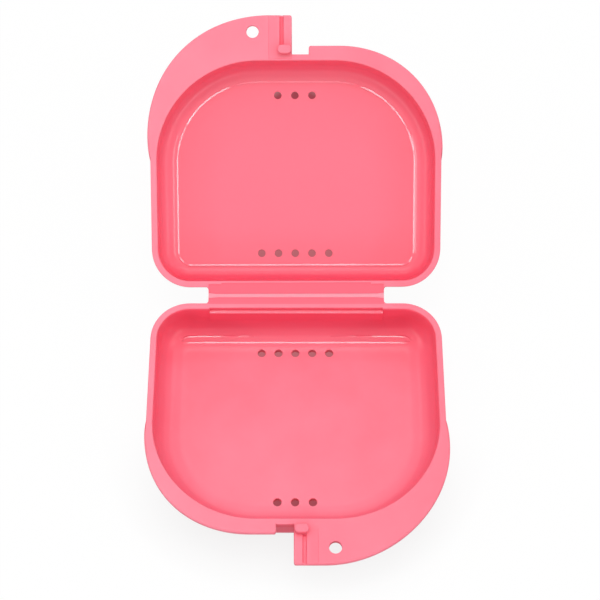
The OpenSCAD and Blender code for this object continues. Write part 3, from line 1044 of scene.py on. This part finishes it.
def film_mesh(shell, flanges):
    """Film of the hinge, from the tray's leaf round the hinge line to the lid's, wider towards its ends."""
    tray_top, lid_top = -FILM_BELOW_TRAY, -shell.recess - FILM_BELOW_LID
    end = flanges.hinge_l / 2
    mesh = bmesh.new()
    loops = []
    for x in stations([-end, FLARE_L - end, end - FLARE_L, end], FILM_SPACING):
        half_w = flanges.film_w / 2 + film_flare(x, flanges) + FILM_LAP
        top, under = [], []
        for i in range(FILM_ROWS + 1):
            t = i / FILM_ROWS
            turn = Matrix.Rotation(LID_TILT * smooth(t), 3, "X")
            dip = FILM_DIP * math.sin(math.pi * t)
            height = mix(tray_top, lid_top, smooth(t)) - dip - RIM_GAP / 2
            thick = flanges.film_t + FILM_ROOT * (2 * t - 1) ** 4
            flat = (2 * t - 1) * half_w
            top.append(HINGE + turn @ Vector((0, flat, height)) + Vector((x, 0, 0)))
            under.append(HINGE + turn @ Vector((0, flat, height - thick)) + Vector((x, 0, 0)))
        loops.append([mesh.verts.new(point) for point in top + under[::-1]])
    bridge(mesh, loops[::-1])
    for loop in (loops[0], loops[-1]):
        for i in range(FILM_ROWS):
            mesh.faces.new((loop[i], loop[i + 1], loop[-2 - i], loop[-1 - i]))
    bmesh.ops.recalc_face_normals(mesh, faces=mesh.faces)
    return mesh


class CASE_OT_film(bpy.types.Operator):
    """Builds the thin film of the living hinge, which bends between the tray and the lid"""
    bl_idname = "retainer_case.film"
    bl_label = "Hinge film"

    def execute(self, context):
        scene = context.scene
        tint = scene.case_colours.film
        finish = polypropylene(FILM_FINISH, tint, tint, tint)
        film = new_object("hinge_film", film_mesh(scene.case_shell, scene.case_flanges), [finish])
        shade(film)
        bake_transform(film)
        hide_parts("living_hinge")
        return {"FINISHED"}


def seen_directly(tree, kinds):
    """Socket that is 1 for the kinds of rays that show a background to the eye."""
    path = add_node(tree, "ShaderNodeLightPath")
    seen = path.outputs[f"Is {kinds[0]} Ray"]
    for kind in kinds[1:]:
        seen = add_node(
            tree, "ShaderNodeMath", {0: seen, 1: path.outputs[f"Is {kind} Ray"]},
            operation="MAXIMUM").outputs[0]
    return seen


# Floor in the case's shade, under the lid and the tray: middle along Y, half width, half length, and the
# share of them at which the soft edge starts
COVERED = ((79 * MM, 23 * MM, 42 * MM, 0.75), (2 * MM, 36 * MM, 29 * MM, 0.85))

# The shade needs cover overhead: how far that is looked for, and the open share of the sky that ends it,
# at two places along Y, with its soft edge
COVER_REACH, COVER_SAMPLES = 90 * MM, 48
AIR_BY_HINGE, AIR_BY_TAB = (45 * MM, 0.45), (95 * MM, 0.76)
AIR_SOFT = 0.1


def case_shade(tree, point, along):
    """Socket that is 1 where the case covers the floor and 0 in the open."""
    covered = None
    for middle, half_width, half_length, soft in COVERED:
        apart = add_node(tree, "ShaderNodeVectorMath", {0: point, 1: (0, middle, 0)}, operation="SUBTRACT")
        apart = add_node(
            tree, "ShaderNodeVectorMath", {0: apart.outputs[0], 1: (1 / half_width, 1 / half_length, 0)},
            operation="MULTIPLY")
        far = add_node(tree, "ShaderNodeVectorMath", {0: apart.outputs[0]}, operation="LENGTH")
        share = add_node(
            tree, "ShaderNodeMapRange",
            {"Value": far.outputs["Value"], "From Min": soft, "From Max": 1.0, "To Min": 1.0, "To Max": 0.0},
            interpolation_type="SMOOTHSTEP")
        covered = share if covered is None else add_node(
            tree, "ShaderNodeMath", {0: covered.outputs[0], 1: share.outputs[0]}, operation="MAXIMUM")
    air = add_node(tree, "ShaderNodeAmbientOcclusion", {"Distance": COVER_REACH}, samples=COVER_SAMPLES)
    least = add_node(
        tree, "ShaderNodeMapRange",
        {"Value": along, "From Min": AIR_BY_HINGE[0], "From Max": AIR_BY_TAB[0],
         "To Min": AIR_BY_HINGE[1], "To Max": AIR_BY_TAB[1]})
    spare = add_node(
        tree, "ShaderNodeMath", {0: air.outputs["AO"], 1: least.outputs["Result"]}, operation="SUBTRACT")
    closed = add_node(
        tree, "ShaderNodeMapRange",
        {"Value": spare.outputs[0], "From Min": 0.0, "From Max": AIR_SOFT, "To Min": 1.0, "To Max": 0.0})
    both = add_node(
        tree, "ShaderNodeMath", {0: covered.outputs[0], 1: closed.outputs[0]}, operation="MULTIPLY")
    return both.outputs[0]


# Where along Y the shade is palest, and the distances from there over which it deepens
SHADE_MIDDLE = 38 * MM
SHADE_TURNS = (25 * MM, 67 * MM)

# Soft grey shadow beside the case: its reach, and its depth at two places along Y
SHADOW_REACH, SHADOW_SAMPLES = 16 * MM, 16
SHADOW_NEAR, SHADOW_FAR = (-30 * MM, 0.36), (0.0, 0.02)

# Share of the sheet's own white that the eye sees
GLOW = 0.96


def paper_sheet(colours):
    """Paper, pale and matt, as studios lay it: white to the eye, with the case's soft shadow on it.

    Where the case covers it and the vents show it, it is seen in the case's own pink shade.
    """
    material = bpy.data.materials.new("paper_sheet_matt")
    tree = empty_tree(material)
    point = add_node(tree, "ShaderNodeTexCoord").outputs["Object"]
    along = add_node(tree, "ShaderNodeSeparateXYZ", {0: point}).outputs["Y"]
    shaded = case_shade(tree, point, along)
    apart = add_node(tree, "ShaderNodeMath", {0: along, 1: SHADE_MIDDLE}, operation="SUBTRACT")
    apart = add_node(tree, "ShaderNodeMath", {0: apart.outputs[0]}, operation="ABSOLUTE")
    from_hinge = add_node(
        tree, "ShaderNodeMapRange",
        {"Value": apart.outputs[0], "From Min": SHADE_TURNS[0], "From Max": SHADE_TURNS[1]})
    pink = add_node(
        tree, "ShaderNodeMix",
        {"Factor": from_hinge.outputs["Result"], "A": rgba(colours.shade), "B": rgba(colours.deep_shade)},
        data_type="RGBA").outputs["Result"]
    tint = add_node(
        tree, "ShaderNodeMix", {"Factor": shaded, "A": rgba(colours.sheet), "B": pink}, data_type="RGBA")
    seen = seen_directly(tree, ("Camera", "Transmission"))
    lit = add_node(
        tree, "ShaderNodeMix",
        {"Factor": seen, "A": rgba(colours.dim), "B": tint.outputs["Result"]}, data_type="RGBA")
    near = add_node(tree, "ShaderNodeAmbientOcclusion", {"Distance": SHADOW_REACH}, samples=SHADOW_SAMPLES)
    depth = add_node(
        tree, "ShaderNodeMapRange",
        {"Value": along, "From Min": SHADOW_NEAR[0], "From Max": SHADOW_FAR[0],
         "To Min": SHADOW_NEAR[1], "To Max": SHADOW_FAR[1]})
    shadow = add_node(
        tree, "ShaderNodeMapRange",
        {"Value": near.outputs["AO"], "To Min": depth.outputs["Result"], "To Max": 0.0})
    white = add_node(
        tree, "ShaderNodeMix",
        {"Factor": shadow.outputs["Result"], "A": (1, 1, 1, 1), "B": rgba(colours.dim)}, data_type="RGBA")
    glow_tint = add_node(
        tree, "ShaderNodeMix", {"Factor": shaded, "A": white.outputs["Result"], "B": pink}, data_type="RGBA")
    share = add_node(tree, "ShaderNodeMath", {0: seen, 1: GLOW}, operation="MULTIPLY")
    paper = add_node(tree, "ShaderNodeBsdfDiffuse", {"Color": lit.outputs["Result"]})
    glow = add_node(tree, "ShaderNodeEmission", {"Color": glow_tint.outputs["Result"], "Strength": 1.0})
    both = add_node(
        tree, "ShaderNodeMixShader", {0: share.outputs[0], 1: paper.outputs[0], 2: glow.outputs[0]})
    add_node(tree, "ShaderNodeOutputMaterial", {"Surface": both.outputs[0]})
    return material


# Half the side of the floor, and the squares along it
FLOOR_HALF = 3.0
FLOOR_SQUARES = 8


def studio_floor(colours):
    """Sheet that the case stands on."""
    mesh = bmesh.new()
    bmesh.ops.create_grid(mesh, x_segments=FLOOR_SQUARES, y_segments=FLOOR_SQUARES, size=FLOOR_HALF)
    return new_object("studio_floor", mesh, [paper_sheet(colours)])


# Soft lamps round the view, all as far from the hinge: watts, width and length in metres, degrees away from
# the lid's normal and round it from the right, and whether they show in glossy surfaces
Lamp = namedtuple("Lamp", "name power across along off turn glint", defaults=(True,))
LAMP_AWAY = 1.0
LAMPS = (
    Lamp("soft_over", 2.0, 0.22, 0.6, 34, 90, False), Lamp("sheen_over", 0.6, 0.3, 0.6, 40, 90),
    Lamp("strip_over", 0.37, 0.025, 0.45, 37.35, 90), Lamp("soft_right", 0.26, 0.05, 0.5, 5.4, 0),
    Lamp("soft_left", 0.34, 0.05, 0.5, 5.4, 180), Lamp("strip_back", 0.55, 0.035, 0.5, 68.4, 90),
    Lamp("strip_front", 0.15, 0.035, 0.5, 59, -90), Lamp("soft_front", 0.85, 0.3, 0.6, 59, -90, False),
    Lamp("soft_back", 0.16, 0.05, 0.5, 11, 90),
)

# Pairs of strips at the sides: degrees round from the side, length, then watts and degrees away of each
STRIP_W = 0.035
SIDE_STRIPS = (
    (5, 0.35, (0.4, 62.8), (0.42, 63)), (-13, 0.35, (0.42, 61.2), (0.44, 61.4)),
    (-35, 0.35, (0.58, 59.8), (0.44, 60)), (-57, 0.35, (0.46, 59), (0.44, 59.1)),
    (42, 0.4, (0.36, 64.8), (0.36, 65)),
)


def all_lamps():
    """The lamps round the view, with the strips of both sides."""
    lamps = list(LAMPS)
    for i, (turn, along, right, left) in enumerate(SIDE_STRIPS):
        lamps.append(Lamp(f"strip_right_{i}", right[0], STRIP_W, along, right[1], turn))
        lamps.append(Lamp(f"strip_left_{i}", left[0], STRIP_W, along, left[1], 180 - turn))
    return lamps


def add_lamp(lamp):
    """Rectangular lamp that faces the hinge, with its long side square to the way that it leans."""
    lid_turn = Matrix.Rotation(LID_TILT, 3, "X")
    off, turn = math.radians(lamp.off), math.radians(lamp.turn)
    around = Vector((math.cos(turn), math.sin(turn), 0))
    outwards = lid_turn @ (math.sin(off) * around + Vector((0, 0, math.cos(off))))
    sideways = lid_turn @ Vector((-math.sin(turn), math.cos(turn), 0))
    data = bpy.data.lights.new(lamp.name, "AREA")
    data.energy = lamp.power
    data.shape = "RECTANGLE"
    data.size, data.size_y = lamp.along, lamp.across
    thing = bpy.data.objects.new(lamp.name, data)
    thing.visible_glossy = lamp.glint
    axes = Matrix((sideways, outwards.cross(sideways), outwards)).transposed()
    thing.matrix_world = Matrix.Translation(HINGE + outwards * LAMP_AWAY) @ axes.to_4x4()
    bpy.context.scene.collection.objects.link(thing)


# Strength of the light from all round, at the horizon and overhead
WORLD_LOW, WORLD_HIGH = 0.22, 0.695


def studio_world(scene):
    """Pale light all round, brighter overhead, seen as white behind the case."""
    world = bpy.data.worlds.new("studio_world")
    scene.world = world
    tree = empty_tree(world)
    place = add_node(
        tree, "ShaderNodeSeparateXYZ", {0: add_node(tree, "ShaderNodeTexCoord").outputs["Generated"]})
    light = add_node(
        tree, "ShaderNodeMapRange", {"Value": place.outputs["Z"], "To Min": WORLD_LOW, "To Max": WORLD_HIGH})
    seen = seen_directly(tree, ("Camera", "Glossy", "Transmission"))
    strength = add_node(
        tree, "ShaderNodeMapRange", {"Value": seen, "To Min": light.outputs["Result"], "To Max": 1.0})
    sky = add_node(
        tree, "ShaderNodeBackground", {"Color": (1, 1, 1, 1), "Strength": strength.outputs["Result"]})
    add_node(tree, "ShaderNodeOutputWorld", {"Surface": sky.outputs[0]})


# Camera square to the open lid: its place over the hinge, lens and roll
CAMERA_PLACE = (1.07 * MM, -1.324 * MM, 550 * MM)
CAMERA_LENS = 117
CAMERA_ROLL = math.radians(-0.14)


def add_camera(scene):
    """Camera at the photo's view."""
    data = bpy.data.cameras.new("camera")
    data.lens = CAMERA_LENS
    camera = bpy.data.objects.new("camera", data)
    camera.matrix_world = (
        Matrix.Translation(HINGE) @ Matrix.Rotation(LID_TILT, 4, "X")
        @ Matrix.Translation(CAMERA_PLACE) @ Matrix.Rotation(CAMERA_ROLL, 4, "Z"))
    scene.collection.objects.link(camera)
    scene.camera = camera


class CASE_OT_stage(bpy.types.Operator):
    """Adds the floor, the lamps and the camera"""
    bl_idname = "retainer_case.stage"
    bl_label = "Stage"

    def execute(self, context):
        scene = context.scene
        studio_floor(scene.case_colours)
        studio_world(scene)
        for lamp in all_lamps():
            add_lamp(lamp)
        add_camera(scene)
        scene.view_settings.view_transform = "Standard"
        return {"FINISHED"}


STEPS = (CASE_OT_tray, CASE_OT_lid, CASE_OT_pegs, CASE_OT_film, CASE_OT_stage)


class CASE_PT_panel(bpy.types.Panel):
    """Sizes, colours and the steps that build the case"""
    bl_idname = "CASE_PT_panel"
    bl_label = "Retainer case"
    bl_space_type = "VIEW_3D"
    bl_region_type = "UI"
    bl_category = "Retainer case"

    def draw(self, context):
        for group in (context.scene.case_shell, context.scene.case_flanges, context.scene.case_colours):
            box = self.layout.box()
            for key in group.__annotations__:
                box.prop(group, key)
        for step in STEPS:
            self.layout.operator(step.bl_idname)


CLASSES = (CaseShell, CaseFlanges, CaseColours, *STEPS, CASE_PT_panel)


def register():
    """Registers the classes and hangs the settings on the scene."""
    for entry in CLASSES:
        bpy.utils.register_class(entry)
    bpy.types.Scene.case_shell = PointerProperty(type=CaseShell)
    bpy.types.Scene.case_flanges = PointerProperty(type=CaseFlanges)
    bpy.types.Scene.case_colours = PointerProperty(type=CaseColours)


def unregister():
    """Takes the settings and the classes away again."""
    del bpy.types.Scene.case_shell
    del bpy.types.Scene.case_flanges
    del bpy.types.Scene.case_colours
    for entry in reversed(CLASSES):
        bpy.utils.unregister_class(entry)


def main():
    """Builds the case and the stage."""
    register()
    bpy.ops.retainer_case.tray()
    bpy.ops.retainer_case.lid()
    bpy.ops.retainer_case.pegs()
    bpy.ops.retainer_case.film()
    bpy.ops.retainer_case.stage()
    bpy.context.view_layer.update()


if __name__ == "__main__":
    main()
